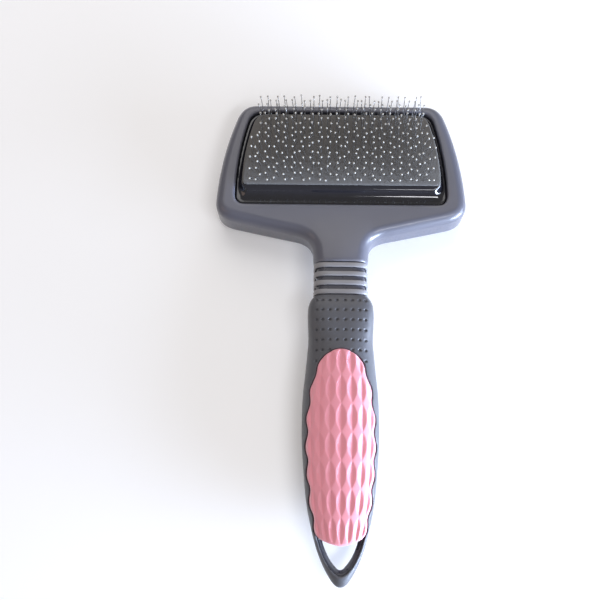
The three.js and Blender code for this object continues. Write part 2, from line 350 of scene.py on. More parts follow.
def recess_outline():
    """The recess in the head that the tray drops into."""
    bottom, top = 58.7, 107.6
    points = [(0, bottom), (45.5, bottom)]
    points += bend((45.5, bottom), (50.4, bottom), (50.4, 64.5))
    points += bend((50.4, 64.5), (50, 84), (45.4, 101), 16)
    points += bend((45.4, 101), (43.8, top), (37, top))
    return Outline([*points, (0, top)])


def pad_half_width(y):
    """The pad's sides draw in towards its upper end."""
    along = np.clip((y - PAD_BOTTOM) / (PAD_TOP - PAD_BOTTOM), 0, 1)
    return 46.8 - 6.4 * along**1.5


def pad_outline():
    """The pin pad: the foundation, and the wall of the tray under it."""
    points = [(0, PAD_BOTTOM), (44.2, PAD_BOTTOM)]
    points += bend((44.2, PAD_BOTTOM), (46.8, PAD_BOTTOM), (pad_half_width(69.6), 69.6))
    points += [(pad_half_width(y), y) for y in np.linspace(73, 98, 12)]
    points += bend((pad_half_width(98), 98), (pad_half_width(PAD_TOP), PAD_TOP), (35.5, PAD_TOP))
    return Outline([*points, (0, PAD_TOP)])


def inlay_outline():
    """The thumb pad: a leaf with a round upper end and a shallow arc at its lower end."""
    side = smooth_curve(
        [(-93, 9.6), (-85, 11.6), (-70, 13.7), (-50, 14.7), (-33, 13.4), (-20.5, 10.4), (-16, 8.2)]
    )
    upper_end = smooth_curve([(-20.5, 10.4), (-18.5, 9.3), (-16.3, 7.9), (-14.3, 6.2), (-12.6, 4.2)])
    points = [(0, -95.9)]
    points += bend((0, -95.9), (5, -95.6), (9, -92.6), 8)
    points += [(float(side(y)), y) for y in np.linspace(-90, -20.5, 38)]
    points += [(float(upper_end(y)), y) for y in np.linspace(-20, -12.6, 10)]
    points += bend((4.2, -12.6), (2.2, -11.4), (0, -11.4), 6)
    return Outline(points)


def hang_hole_outline():
    """A triangle with bulging sides. Its upper edge follows the thumb pad's lower end."""
    points = [(0, -105)]
    points += bend((0, -105), (1.2, -105), (2, -103.8), 6)
    points += bend((2, -103.8), (5.8, -100), (7.9, -92.6), 10)
    points += bend((7.9, -92.6), (4.6, -94.6), (0, -94.6), 8)
    return Outline(points)


FRAME_OUTLINE = frame_outline()
RECESS_OUTLINE = recess_outline()
PAD_OUTLINE = pad_outline()
INLAY_OUTLINE = inlay_outline()
HANG_HOLE = hang_hole_outline()

# Half widths along the handle, from tail to head

SLEEVE_WIDTH = half_width_curve(
    [
        (0, TAIL_TIP),
        (4.9, -107.8),
        (7.8, -102.5),
        (10.4, -96),
        (12.4, -88.6),
        (14.65, -78),
        (16.1, -64),
        (16.9, -53),
        (GRIP_HALF_WIDTH, -42),
        (16.8, -32),
        (15.8, -21),
        (15.1, -13),
        (14.65, -7),
        (14.9, 0),
        (15, 6),
        (14.7, 9),
        (13.9, 11.3),
        (12.6, 13.1),
        (11.5, 14.5),
    ]
)
CORE_WIDTH = half_width_curve(
    [
        (0, -110.3),
        (3.8, -107),
        (6.5, -102.5),
        (9, -96),
        (10.7, -88.6),
        (12.3, -78),
        (13.5, -64),
        (14.2, -53),
        (14.4, -42),
        (14.1, -32),
        (12.9, -21),
        (12.2, -13),
        (11.8, -7),
        (11.5, 0),
        (NECK_CORE_RADIUS, 8),
        (NECK_CORE_RADIUS, 16),
    ]
)


# ---- The handle ----

CORE_FLARE, CORE_FLARE_HEIGHT = 0.6, 5  # how fast the hang hole widens upwards, and over what height
SLEEVE_FLARE, SLEEVE_FLARE_HEIGHT = 0.35, 4
LIP_OUTSET = 1.1  # how much wider the hole starts in the sleeve
LIP_START = HANDLE_AXIS + 0.5
FLARE_SLOPE = 0.85  # scales a flared hole's distance, because its walls lean
WINDOW_OUTSET = 0.25  # of the sleeve's window from the thumb pad's outline


def tail_hole(x, y, outset):
    """The hang hole, made larger all round."""
    return HANG_HOLE.distance(x, y) - outset


def core_distance(x, y, z):
    """The handle's core with its tang, which ends inside the head, and the hang hole's funnel."""
    grip = handle_body(CORE_WIDTH, x, y, z)
    grip = smooth_max(grip, y - (NECK_END - GAP), 0.6)
    tang = handle_body(lambda _: TANG_RADIUS, x, y, z)
    tang = smooth_max(tang, y - TANG_END, 0.6)
    tang = np.maximum(tang, NECK_END - 4 - y)
    body = np.minimum(grip, tang)
    funnel = tail_hole(x, y, CORE_FLARE * np.clip(z - HANDLE_AXIS, 0, CORE_FLARE_HEIGHT))
    return smooth_max(body, -funnel * FLARE_SLOPE, 0.8)


def core_cut(x, y, z):
    """The space that the core fills, with the gap round it."""
    return handle_body(CORE_WIDTH, x, y, z, GAP)


DIMPLE_ROWS = [10.5, 5.9, 1.4, -3.2, -7.8, -12.4, -17.2]
DIMPLE_COLUMNS = [1.85, 5.05, 8.25, 10.9]  # on each side of the middle
DIMPLE_RADIUS, DIMPLE_DEPTH = 0.55, 0.8


def dimples(x, y, z):
    """How deep the sleeve's small round dimples are at a place on its upper face."""
    depth = 0.0
    across = np.abs(x)
    for row in DIMPLE_ROWS:
        for column in DIMPLE_COLUMNS:
            away = ((across - column) ** 2 + (y - row) ** 2) / DIMPLE_RADIUS**2
            depth = depth + DIMPLE_DEPTH * np.exp(-(away**2))
    return np.where(z > HANDLE_AXIS, depth, 0)


def sleeve_distance(x, y, z):
    """The rubber sleeve, with its window for the thumb pad and a sloped lip at the hang hole."""
    outer = handle_body(SLEEVE_WIDTH, x, y, z) + dimples(x, y, z)
    outer = smooth_max(outer, y - COLLAR_TOP, 0.5)
    window_flat = INLAY_OUTLINE.distance(x, y) - scallop(y) - WINDOW_OUTSET
    window = np.maximum(window_flat, TAIL_FLOOR - z)
    flare = SLEEVE_FLARE * np.clip(z - LIP_START, 0, SLEEVE_FLARE_HEIGHT)
    tail = tail_hole(x, y, LIP_OUTSET + flare)
    body = smooth_max(outer, -window, 0.7)
    body = smooth_max(body, -tail * FLARE_SLOPE, 1.4)
    return np.maximum(body, -core_cut(x, y, z))


# The thumb pad's rows of hollows: their lengths shrink a little towards the tail.
ROW_EDGES = [-23.7 - 12.55 * k + 0.135 * k * (k - 1) for k in range(-2, 8)]
COLUMN_ANGLE = math.radians(16.4)  # between two columns of hollows, about the handle's line
HOLLOW_DEPTH = 0.88
HOLLOW_POWER = 1.8  # how full a hollow's outline is towards its pointed ends
INLAY_PROUD = 0.6  # how far the thumb pad stands above the sleeve
SCALLOP = 0.55  # how far the scalloped edge swells and draws in


def hollow_row(y):
    """Which row a place lies in, as a number that counts on evenly from row to row."""
    return np.interp(y, ROW_EDGES[::-1], np.arange(len(ROW_EDGES))[::-1])


def scallop(y):
    """How far the thumb pad's edge swells out at the middle of each row."""
    return -SCALLOP * np.cos(2 * math.pi * hollow_row(y))


def hollows(x, y):
    """The depth of the lens-shaped hollows: creased down the middle, pointed at both ends."""
    column = np.arcsin(np.clip(x / np.maximum(SLEEVE_WIDTH(y), 1), -0.98, 0.98)) / COLUMN_ANGLE
    u = 2 * np.abs(column - np.round(column))
    v = 2 * np.abs(hollow_row(y) % 1 - 0.5)
    return HOLLOW_DEPTH * np.maximum(1 - v**HOLLOW_POWER - u, 0)


def inlay_distance(x, y, z):
    """The thumb pad, which lies in the sleeve's window."""
    outer = handle_body(SLEEVE_WIDTH, x, y, z, INLAY_PROUD) + hollows(x, y)
    leaf = INLAY_OUTLINE.distance(x, y) - scallop(y)
    body = smooth_max(outer, leaf, 1.1)
    body = np.maximum(body, TAIL_FLOOR + GAP - z)
    return np.maximum(body, -core_cut(x, y, z))


RING_CROWN = 0.35


def ring_distance(middle, width):
    """A slightly crowned ring round the neck."""

    def distance(x, y, z):
        crown = RING_CROWN * ((y - middle) / (width / 2)) ** 4
        outer = handle_body(lambda _: RING_RADIUS, x, y, z) + crown
        ends = np.abs(y - middle) - width / 2
        ring = smooth_max(outer, ends, 0.5)
        return np.maximum(ring, -handle_body(lambda _: NECK_CORE_RADIUS, x, y, z, GAP))

    return distance


# ---- The head ----

FRAME_ROUNDING = 4.5
NECK_ROUNDING = 0.8  # on top of the frame's rounding, where the neck ends
NECK_LOW, NECK_HIGH = 3.0, 20.9  # the frame's lower and upper faces where the neck ends
NECK_SWELL_END = 56  # from here on the frame is flat
NECK_CROWN = 1.1  # how far the neck's upper face falls towards its sides


def frame_distance(x, y, z):
    """The head frame, with the tray's recess, the cavity under it and the tang's socket."""
    swell = 1 - smooth_step(y, NECK_END + 1, NECK_SWELL_END)
    low, high = NECK_LOW * swell, FRAME_THICKNESS + (NECK_HIGH - FRAME_THICKNESS) * swell
    flat = FRAME_OUTLINE.distance(x, y)
    crown = NECK_CROWN * swell * np.minimum(np.abs(x) / NECK_CORE_RADIUS, 1.3) ** 2
    body = rounded_prism(flat, z, low, high - crown, FRAME_ROUNDING + NECK_ROUNDING * swell)
    body = smooth_max(body, NECK_END - y, 0.8)
    recess_flat = RECESS_OUTLINE.distance(x, y)
    recess = np.maximum(recess_flat, LEDGE_HEIGHT - z)
    cavity = np.maximum(recess_flat + LEDGE_WIDTH, FRAME_BACK - z)
    body = smooth_max(body, -recess, 1.0)
    body = np.maximum(body, -cavity)
    socket = handle_body(lambda _: TANG_RADIUS, x, y, z, GAP)
    socket = np.maximum(socket, y - TANG_END - GAP)
    return np.maximum(body, -socket)


def pad_arc(y, z):
    """The distance from the line that the pad's arcs are drawn about."""
    return np.hypot(y - PAD_MIDDLE, z - PAD_ARC_HEIGHT)


# The height of the tray's skirt, from the pad's edge at 0 to the recess's edge at 1: a steep wall,
# then a near-flat flange.
SKIRT = smooth_curve([(0, 21.2), (0.1, 20.9), (0.42, 17.7), (0.55, 17.1), (1, TRAY_FLANGE_TOP)])
SKIRT_SLOPE = 0.75  # scales the skirt's distance, because it leans
WALL_TOP_SLOPE = 0.9
TRAY_CLEARANCE = GAP + 0.1  # between the tray's flange and the recess


def tray_distance(x, y, z):
    """The tray: a tub under the pad, with a skirt round it that ends in a flange."""
    pad_flat = PAD_OUTLINE.distance(x, y)
    recess_flat = RECESS_OUTLINE.distance(x, y) + TRAY_CLEARANCE
    past_pad = np.maximum(pad_flat, 0)
    share = past_pad / np.maximum(past_pad - recess_flat, 0.5)
    under = PAD_ARC_RADIUS - FOUNDATION_THICKNESS - GAP
    wall_top = (pad_arc(y, z) - under) * WALL_TOP_SLOPE
    skirt = (z - SKIRT(np.clip(share, 0, 1))) * SKIRT_SLOPE
    top = np.where(pad_flat > 0.01, np.maximum(skirt, wall_top), wall_top)
    flange = np.maximum(np.maximum(recess_flat, LEDGE_HEIGHT + GAP - z), top)
    tub = np.maximum(np.maximum(pad_flat, TRAY_BOTTOM - z), wall_top)
    body = np.minimum(flange, tub)
    pocket = np.maximum(pad_flat + TRAY_WALL, TRAY_BOTTOM + TRAY_FLOOR - z)
    return smooth_max(body, -pocket, 0.3)


def cushion_distance(x, y, z):
    """The foam that fills the tray up to the foundation."""
    flat = PAD_OUTLINE.distance(x, y) + TRAY_WALL + GAP
    under = pad_arc(y, z) - (PAD_ARC_RADIUS - FOUNDATION_THICKNESS - GAP)
    body = smooth_max(flat, under, 1.5)
    return smooth_max(body, TRAY_BOTTOM + TRAY_FLOOR + GAP - z, 1.5)


def foundation_distance(x, y, z):
    """The sheet that the pins stand in, bent to the pad's arc."""
    flat = PAD_OUTLINE.distance(x, y)
    half = FOUNDATION_THICKNESS / 2
    sheet = np.abs(pad_arc(y, z) - (PAD_ARC_RADIUS - half)) - half
    return smooth_max(flat, sheet, 0.6)


# ---- Pins ----

WIRE_RADIUS = 0.16
WIRE_SIDES = 6
TIP_RADIUS = 0.5
LEG_HEIGHTS = [-1.6, -0.6, 1.5, 4, 5.8, 7.2, 9, PIN_HEIGHT - TIP_RADIUS]  # from the pad's face
SWAY = 0.42  # how far a tip strays, as a standard deviation
UPPER_SWEEP = 1.2  # how much further forward the pins near the head's far end lean
KNEE_FORWARD = 0.55  # each wire leans forward up to half its height,
KNEE_BACK = 2.2  # and back again from there
STAPLE_SAG = 0.3  # how far a staple's back lies below its legs


def pin_places(row, y):
    """Where a row's staples stand along X. Every other row is shifted by half a pitch."""
    limit = float(pad_half_width(y)) - PIN_MARGIN
    shift = 0 if row % 2 == 0 else 0.5
    most = math.ceil(limit / STAPLE_PITCH) + 1
    middles = [(k + shift) * STAPLE_PITCH for k in range(-most, most + 1)]
    return [m for m in middles if abs(m) + STAPLE_SPAN / 2 <= limit]


def sweep(path, radius, sides):
    """Points and faces of a closed round tube along a path."""
    path = np.array(path, float)
    along = np.gradient(path, axis=0)
    along /= np.linalg.norm(along, axis=1)[:, None]
    side = np.cross(along, [0, 1, 0])
    weak = np.linalg.norm(side, axis=1) < 0.2
    side[weak] = np.cross(along[weak], [1, 0, 0])
    side /= np.linalg.norm(side, axis=1)[:, None]
    for i in range(1, len(side)):
        kept = side[i - 1] - along[i] * (side[i - 1] @ along[i])
        side[i] = kept / np.linalg.norm(kept)
    other = np.cross(along, side)
    turn = np.linspace(0, 2 * math.pi, sides, endpoint=False)
    rings = path[:, None] + radius * (
        np.cos(turn)[None, :, None] * side[:, None] + np.sin(turn)[None, :, None] * other[:, None]
    )
    points = rings.reshape(-1, 3)
    faces = []
    for i in range(len(path) - 1):
        for j in range(sides):
            a, b = i * sides + j, i * sides + (j + 1) % sides
            faces.append((a, b, b + sides, a + sides))
    last = (len(path) - 1) * sides
    faces.append(tuple(range(sides))[::-1])
    faces.append(tuple(last + j for j in range(sides)))
    return points, faces


def ball(centre, radius, rings=6, sides=8):
    """Points and faces of a small ball."""
    points = [centre + [0, 0, -radius]]
    for i in range(1, rings):
        lift = -math.pi / 2 + math.pi * i / rings
        out, up = radius * math.cos(lift), radius * math.sin(lift)
        for j in range(sides):
            turn = 2 * math.pi * j / sides
            points.append(centre + [out * math.cos(turn), out * math.sin(turn), up])
    points.append(centre + [0, 0, radius])
    top = len(points) - 1
    faces = []
    for j in range(sides):
        k = (j + 1) % sides
        faces.append((0, 1 + k, 1 + j))
        for i in range(rings - 2):
            a, b = 1 + i * sides + j, 1 + i * sides + k
            faces.append((a, b, b + sides, a + sides))
        faces.append((top, top - sides + j, top - sides + k))
    return points, faces


def joined(parts):
    """Several parts' points and faces as one."""
    points, faces, count = [], [], 0
    for p, f in parts:
        points.extend(np.asarray(p).tolist())
        faces.extend(tuple(i + count for i in face) for face in f)
        count += len(p)
    return points, faces


def make_pin_row(row, number, random):
    """One row's staples as bent wires, and their ball tips."""
    across = -ROW_SPREAD + 2 * ROW_SPREAD * row / (PIN_ROWS - 1)
    lean = math.asin(across / PAD_ARC_RADIUS)
    up = np.array([0, math.sin(lean), math.cos(lean)])
    forward = np.array([0, math.cos(lean), -math.sin(lean)])
    centre = np.array([0, PAD_MIDDLE, PAD_ARC_HEIGHT])
    swept = UPPER_SWEEP * float(smooth_step(across, 3, ROW_SPREAD))

    def place(x, height, slip):
        """A point over the pad's face, slid forward by slip."""
        return centre + up * (PAD_ARC_RADIUS + height) + forward * slip + [x, 0, 0]

    wires, tips = [], []
    for middle in pin_places(row, PAD_MIDDLE + across):
        legs = []
        for side in (-1, 1):
            foot = middle + side * STAPLE_SPAN / 2
            fan = foot * SIDE_FAN
            sway_x, sway_y = random.normal(0, SWAY, 2)
            leg = []
            for height in LEG_HEIGHTS:
                share = max(height, 0) / PIN_HEIGHT
                knee = KNEE_FORWARD * math.sin(min(2 * share, 1) * math.pi / 2)
                knee -= KNEE_BACK * max(share - 0.5, 0)
                slip = knee + (sway_y + swept) * share**1.5
                leg.append(place(foot + (fan + sway_x) * share**1.3, height, slip))
            legs.append(leg)
            tips.append(ball(leg[-1], TIP_RADIUS))
        left, right = legs
        back = [left[0] + (right[0] - left[0]) * t - up * STAPLE_SAG for t in (0.12, 0.5, 0.88)]
        wires.append(sweep([*left[::-1], *back, *right], WIRE_RADIUS, WIRE_SIDES))
    wire_row = make_object(f"pin_wires_{number}", *joined(wires))
    tip_row = make_object(f"pin_tips_{number}", *joined(tips))
    return wire_row, tip_row


# ---- Materials ----


def material(name, color, roughness, **settings):
    """A node material with its constant values on the shader's own sockets."""
    made = bpy.data.materials.new(name)
    made.use_nodes = True
    shader = made.node_tree.nodes["Principled BSDF"]
    shader.inputs["Base Color"].default_value = (*color, 1)
    shader.inputs["Roughness"].default_value = roughness
    for key, value in settings.items():
        shader.inputs[key.replace("_", " ")].default_value = value
    return made


def node(made, kind, **sockets):
    """Adds a node with values on its sockets."""
    n = made.node_tree.nodes.new(kind)
    for key, value in sockets.items():
        n.inputs[key].default_value = value
    return n


def link(made, source, target):
    """Joins one socket to another."""
    made.node_tree.links.new(source, target)


def feed(made, source, socket):
    """Leads a source to one of the shader's own sockets."""
    link(made, source, made.node_tree.nodes["Principled BSDF"].inputs[socket])


def coordinates(made, stretch=(1, 1, 1)):
    """Object coordinates in millimetres, stretched along each axis."""
    place = node(made, "ShaderNodeTexCoord")
    scale = node(made, "ShaderNodeMapping")
    scale.inputs["Scale"].default_value = [s / MM for s in stretch]
    link(made, place.outputs["Object"], scale.inputs["Vector"])
    return scale.outputs["Vector"]


def noise(made, vector, per_mm, detail=3.0, rough=0.5):
    """Cloudy noise, with about per_mm blots to a millimetre."""
    n = node(made, "ShaderNodeTexNoise", Scale=per_mm, Detail=detail, Roughness=rough)
    link(made, vector, n.inputs["Vector"])
    return n.outputs["Fac"]


def ramp(made, value, start, end):
    """A grey ramp from one stop of (place, grey) to another."""
    n = node(made, "ShaderNodeValToRGB")
    for element, (place, grey) in zip(n.color_ramp.elements, (start, end)):
        element.position = place
        element.color = (grey, grey, grey, 1)
    link(made, value, n.inputs["Fac"])
    return n.outputs["Color"]


def fill(made, sockets, values):
    """Gives each socket its value, which may be a number, a colour or another node's socket."""
    for socket, value in zip(sockets, values):
        if isinstance(value, bpy.types.NodeSocket):
            link(made, value, socket)
        else:
            socket.default_value = (*value, 1) if isinstance(value, tuple) else value


def mixed(made, share, low, high, blend="MIX"):
    """Two colours mixed. Each may be a colour or a socket, and so may the share."""
    n = node(made, "ShaderNodeMix")
    n.data_type = "RGBA"
    n.blend_type = blend
    fill(made, (n.inputs[0], n.inputs[6], n.inputs[7]), (share, low, high))
    return n.outputs[2]


def multiplied(made, first, second):
    """Two values multiplied. Each may be a number or a socket."""
    n = node(made, "ShaderNodeMath")
    n.operation = "MULTIPLY"
    fill(made, n.inputs, (first, second))
    return n.outputs[0]


def bump(made, height, height_mm, strength=1.0, under=None):
    """A bump of about the given height. Another bump's normal can lie under it."""
    n = node(made, "ShaderNodeBump", Strength=strength)
    n.inputs["Distance"].default_value = height_mm * MM
    link(made, height, n.inputs["Height"])
    if under is not None:
        link(made, under, n.inputs["Normal"])
    return n.outputs["Normal"]


def painted_edge_highlight(made, start, end, strength):
    """Painted highlight: rises to strength along convex edges, between two values of how pointed they
    are.
    """
    geometry = node(made, "ShaderNodeNewGeometry")
    edges = ramp(made, geometry.outputs["Pointiness"], (start, 0.0), (end, 1.0))
    return multiplied(made, edges, strength)


def head_plastic():
    """Satin moulded plastic with fine scratches, smudges and a painted highlight that makes its edges
    paler.
    """
    made = material("head_plastic", (0.1, 0.1, 0.127), 0.32, Coat_Weight=0.4, Coat_Roughness=0.16)
    place = coordinates(made)
    cloudy = noise(made, place, per_mm=0.03, detail=4)
    tone = mixed(made, cloudy, (0.088, 0.089, 0.115), (0.112, 0.113, 0.143))
    # painted highlight: the rounded edges are made paler, as if they caught the light
    highlight_share = painted_edge_highlight(made, 0.51, 0.56, strength=0.35)
    feed(made, mixed(made, highlight_share, tone, (0.24, 0.24, 0.28)), "Base Color")
    smudge = noise(made, place, per_mm=0.09, detail=5, rough=0.6)
    scratch = noise(made, coordinates(made, (0.25, 4.0, 1.0)), per_mm=1.1, detail=2)
    smudged = ramp(made, smudge, (0.3, 0.27), (0.75, 0.43))
    feed(made, mixed(made, 0.35, smudged, scratch), "Roughness")
    grain = noise(made, place, per_mm=4.0, detail=2)
    waves = noise(made, place, per_mm=0.14, detail=2)
    uneven = bump(made, waves, height_mm=0.25, strength=0.12)
    feed(made, bump(made, grain, height_mm=0.02, strength=0.35, under=uneven), "Normal")
    return made


def core_plastic():
    """Dark plastic with a fine grain."""
    made = material("core_plastic", (0.05, 0.05, 0.066), 0.32, Coat_Weight=0.4, Coat_Roughness=0.2)
    place = coordinates(made)
    cloudy = noise(made, place, per_mm=0.12, detail=4)
    feed(made, mixed(made, cloudy, (0.038, 0.038, 0.052), (0.062, 0.062, 0.080)), "Base Color")
    smudge = noise(made, place, per_mm=0.5, detail=4)
    feed(made, ramp(made, smudge, (0.3, 0.25), (0.7, 0.4)), "Roughness")
    grain = noise(made, place, per_mm=3.0, detail=2)
    feed(made, bump(made, grain, height_mm=0.03, strength=0.4), "Normal")
    return made


def grip_rubber():
    """Soft matt rubber with pale specks."""
    made = material("grip_rubber", (0.08, 0.08, 0.095), 0.45, Sheen_Weight=0.08, Specular_IOR_Level=0.5)
    place = coordinates(made)
    cloudy = noise(made, place, per_mm=0.05, detail=5, rough=0.6)
    tone = mixed(made, cloudy, (0.070, 0.070, 0.080), (0.092, 0.093, 0.106))
    speck = ramp(made, noise(made, place, per_mm=2.6, detail=1), (0.66, 0.0), (0.78, 0.35))
    feed(made, mixed(made, speck, tone, (0.17, 0.17, 0.19)), "Base Color")
    smudge = noise(made, place, per_mm=0.25, detail=4)
    feed(made, ramp(made, smudge, (0.3, 0.4), (0.75, 0.52)), "Roughness")
    grain = noise(made, place, per_mm=2.4, detail=3, rough=0.6)
    feed(made, bump(made, grain, height_mm=0.06, strength=0.5), "Normal")
    return made


def inlay_rubber():
    """Pink rubber, which lets a little light in, with a painted highlight that makes it paler on its
    creases.
    """
    made = material(
        "inlay_rubber",
        (0.78, 0.295, 0.355),
        0.57,
        Subsurface_Weight=0.12,
        Subsurface_Radius=(1.0, 0.4, 0.4),
        Subsurface_Scale=MM,
        Sheen_Weight=0.3,
    )
    place = coordinates(made)
    cloudy = noise(made, place, per_mm=0.07, detail=4)
    tone = mixed(made, cloudy, (0.75, 0.275, 0.335), (0.81, 0.315, 0.375))
    # painted highlight: the ridges between the hollows are made paler, as if they caught the light
    highlight_share = painted_edge_highlight(made, 0.52, 0.6, strength=0.12)
    feed(made, mixed(made, highlight_share, tone, (0.92, 0.55, 0.61)), "Base Color")
    smudge = noise(made, place, per_mm=0.3, detail=4)
    feed(made, ramp(made, smudge, (0.3, 0.5), (0.75, 0.64)), "Roughness")
    grain = noise(made, place, per_mm=2.2, detail=3, rough=0.6)
    feed(made, bump(made, grain, height_mm=0.04, strength=0.4), "Normal")
    return made


def ring_plastic():
    """Pale silver-grey plastic, brushed round the neck."""
    made = material("ring_plastic", (0.27, 0.265, 0.28), 0.38)
    cloudy = noise(made, coordinates(made), per_mm=0.15, detail=4)
    feed(made, mixed(made, cloudy, (0.215, 0.21, 0.222), (0.275, 0.27, 0.285)), "Base Color")
    brushed = noise(made, coordinates(made, (0.2, 3.0, 0.2)), per_mm=2.0, detail=3)
    feed(made, ramp(made, brushed, (0.3, 0.3), (0.7, 0.46)), "Roughness")
    feed(made, bump(made, brushed, height_mm=0.03, strength=0.35), "Normal")
    return made


def tray_plastic():
    """Glossy black plastic with a little dust."""
    made = material("tray_plastic", (0.009, 0.009, 0.014), 0.09, Coat_Weight=0.8, Coat_Roughness=0.04)
    place = coordinates(made)
    cloudy = noise(made, place, per_mm=0.1, detail=4)
    tone = mixed(made, cloudy, (0.007, 0.007, 0.011), (0.014, 0.014, 0.020))
    dust = ramp(made, noise(made, place, per_mm=3.5, detail=2), (0.68, 0.0), (0.78, 0.04))
    feed(made, mixed(made, dust, tone, (0.2, 0.2, 0.21)), "Base Color")
    smudge = noise(made, place, per_mm=0.18, detail=5, rough=0.65)
    feed(made, ramp(made, smudge, (0.35, 0.06), (0.8, 0.2)), "Roughness")
    waves = noise(made, place, per_mm=0.1, detail=2)
    feed(made, bump(made, waves, height_mm=0.3, strength=0.12), "Normal")
    return made


def foundation_cloth():
    """Dark rubbered cloth: a plain weave under matted fibres."""
    made = material(
        "foundation_cloth", (0.07, 0.066, 0.063), 0.85, Sheen_Weight=0.15, Sheen_Roughness=0.5
    )
    place = coordinates(made)
    warp = node(made, "ShaderNodeTexWave", Scale=0.55, Distortion=0.6)
    weft = node(made, "ShaderNodeTexWave", Scale=0.55, Distortion=0.6)
    weft.bands_direction = "Y"
    link(made, place, warp.inputs["Vector"])
    link(made, place, weft.inputs["Vector"])
    weave = multiplied(made, warp.outputs["Fac"], weft.outputs["Fac"])
    fibre = noise(made, place, per_mm=2.8, detail=4, rough=0.7)
    cloudy = noise(made, place, per_mm=0.06, detail=4)
    tone = mixed(made, cloudy, (0.085, 0.080, 0.076), (0.112, 0.106, 0.100))
    light = mixed(made, fibre, (0.55, 0.55, 0.55), (1.5, 1.5, 1.5))
    feed(made, mixed(made, 1.0, tone, light, "MULTIPLY"), "Base Color")
    feed(made, ramp(made, fibre, (0.3, 0.75), (0.7, 0.95)), "Roughness")
    woven = bump(made, weave, height_mm=0.12, strength=0.5)
    feed(made, bump(made, fibre, height_mm=0.12, strength=0.6, under=woven), "Normal")
    return made


def cushion_foam():
    """Dark foam with open cells, with painted shade that darkens their pits."""
    made = material("cushion_foam", (0.04, 0.038, 0.036), 0.95)
    place = coordinates(made)
    cells = node(made, "ShaderNodeTexVoronoi", Scale=1.4)
    link(made, place, cells.inputs["Vector"])
    depth = cells.outputs["Distance"]
    # painted shade: the colour is darker where the cells sink deepest
    feed(made, mixed(made, depth, (0.02, 0.019, 0.018), (0.06, 0.057, 0.054)), "Base Color")
    feed(made, ramp(made, noise(made, place, per_mm=1.0), (0.3, 0.9), (0.7, 1.0)), "Roughness")
    feed(made, bump(made, depth, height_mm=0.3, strength=0.8), "Normal")
    return made


def pin_wire():
    """Drawn steel wire, dulled unevenly."""
    made = material("pin_wire", (0.42, 0.415, 0.42), 0.34, Metallic=0.9)
    cloudy = noise(made, coordinates(made), per_mm=0.4)
    feed(made, mixed(made, cloudy, (0.34, 0.335, 0.34), (0.5, 0.495, 0.5)), "Base Color")
    drawn = noise(made, coordinates(made, (4, 4, 0.3)), per_mm=1.2, detail=2)
    feed(made, ramp(made, drawn, (0.3, 0.26), (0.7, 0.42)), "Roughness")
    return made


def pin_tip():
    """Pale epoxy balls, some greyer than others."""
    made = material("pin_tip", (0.44, 0.425, 0.39), 0.42, Coat_Weight=0.1, Coat_Roughness=0.2)
    place = coordinates(made)
    cloudy = noise(made, place, per_mm=0.35)
    feed(made, mixed(made, cloudy, (0.37, 0.355, 0.325), (0.51, 0.49, 0.45)), "Base Color")
    feed(made, ramp(made, noise(made, place, per_mm=2.0), (0.3, 0.36), (0.7, 0.5)), "Roughness")
    return made


def floor_paper():
    """White paper that glows a little, so that the floor stays pale."""
    made = material(
        "floor_paper", (0.93, 0.93, 0.94), 0.8, Emission_Strength=0.1, Emission_Color=(1, 1, 1, 1)
    )
    cloudy = noise(made, coordinates(made), per_mm=0.01)
    feed(made, mixed(made, cloudy, (0.92, 0.92, 0.93), (0.94, 0.94, 0.95)), "Base Color")
    return made


# ---- Camera, lights and floor, in metres ----

VIEW_ELEVATION = 73.5
VIEW_TURN = 0.6
VIEW_AIM = (-0.019, 0.0169, 0)
VIEW_DISTANCE = 0.3825
VIEW_SLIDE = 0.007  # how far the camera slides sideways, which its shift makes up for
LENS, SENSOR_WIDTH = 48, 36  # in millimetres
GRIP_AIM = (0, -0.07, 0.01)
FLOOR_HALF = 3000 * MM
FLOOR_DROP = 0.2 * MM  # keeps the floor clear of the brush's back


def towards_eye(azimuth, elevation):
    """The direction from the aim to the eye."""
    a, e = math.radians(azimuth), math.radians(elevation)
    return Vector((math.sin(a) * math.cos(e), -math.cos(a) * math.cos(e), math.sin(e)))


def make_camera():
    """The view from high over the tail, with the whole brush in the frame."""
    data = bpy.data.cameras.new("camera")
    data.sensor_width = SENSOR_WIDTH
    data.lens = LENS
    data.clip_start, data.clip_end = 0.01, 10
    camera = bpy.data.objects.new("camera", data)
    bpy.context.scene.collection.objects.link(camera)
    back = towards_eye(VIEW_TURN, VIEW_ELEVATION)
    camera.location = Vector(VIEW_AIM) + back * VIEW_DISTANCE + Vector((VIEW_SLIDE, 0, 0))
    data.shift_x = -VIEW_SLIDE / VIEW_DISTANCE * LENS / SENSOR_WIDTH
    camera.rotation_mode = "QUATERNION"
    camera.rotation_quaternion = (-back).to_track_quat("-Z", "Y")
    bpy.context.scene.camera = camera


def area_light(name, direction, distance, size, power, color, aim=(0, 0, 0), spread=180):
    """A soft box that lies in a direction and looks at aim, the middle of the brush by default."""
    data = bpy.data.lights.new(name, "AREA")
    data.shape = "RECTANGLE"
    data.size, data.size_y = size
    data.energy = power
    data.color = color
    data.spread = math.radians(spread)
    lamp = bpy.data.objects.new(name, data)
    bpy.context.scene.collection.objects.link(lamp)
    lamp.location = Vector(direction).normalized() * distance
    lamp.rotation_mode = "QUATERNION"
    lamp.rotation_quaternion = (lamp.location - Vector(aim)).to_track_quat("Z", "Y")


